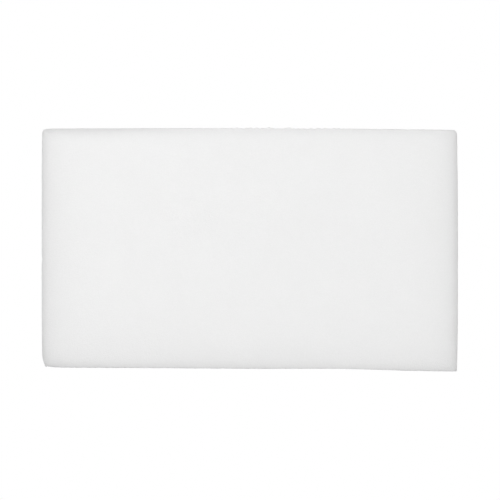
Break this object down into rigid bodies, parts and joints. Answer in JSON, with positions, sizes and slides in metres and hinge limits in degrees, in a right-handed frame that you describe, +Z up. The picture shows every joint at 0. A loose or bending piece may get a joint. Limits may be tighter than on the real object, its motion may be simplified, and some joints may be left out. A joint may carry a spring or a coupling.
{
  "type": "nail buffer block",
  "caption": "Small two-sided nail buffer block: a white foam core with a fine and a coarse abrasive sheet bonded to its faces, die-cut with soft rolled-over edges.",
  "frame": {"origin": "middle of the block's plan, on the plane that the lower face rests on", "axes": "+Z up through the thickness, +X along the length, +Y across the width to the rear edge"},
  "size_m": [0.038, 0.0222, 0.0125],
  "materials": {
    "foam": "matt white closed-cell EVA foam, with fine cut cells on the sides",
    "adhesive": "clear to milky acrylic adhesive film",
    "backing_paper": "matt white latex-saturated backing paper, slightly fibrous where cut",
    "fine_grit": "dead-matt white, fine aluminium oxide grains under a stearate top coat",
    "coarse_grit": "dead-matt white, coarser aluminium oxide grains under a stearate top coat"
  },
  "bodies": {
    "root": {"foam_core": "foam", "upper_adhesive_film": "adhesive", "upper_backing_paper": "backing_paper", "upper_fine_grit_coat": "fine_grit", "lower_adhesive_film": "adhesive", "lower_backing_paper": "backing_paper", "lower_coarse_grit_coat": "coarse_grit"}
  },
  "joints": []
}
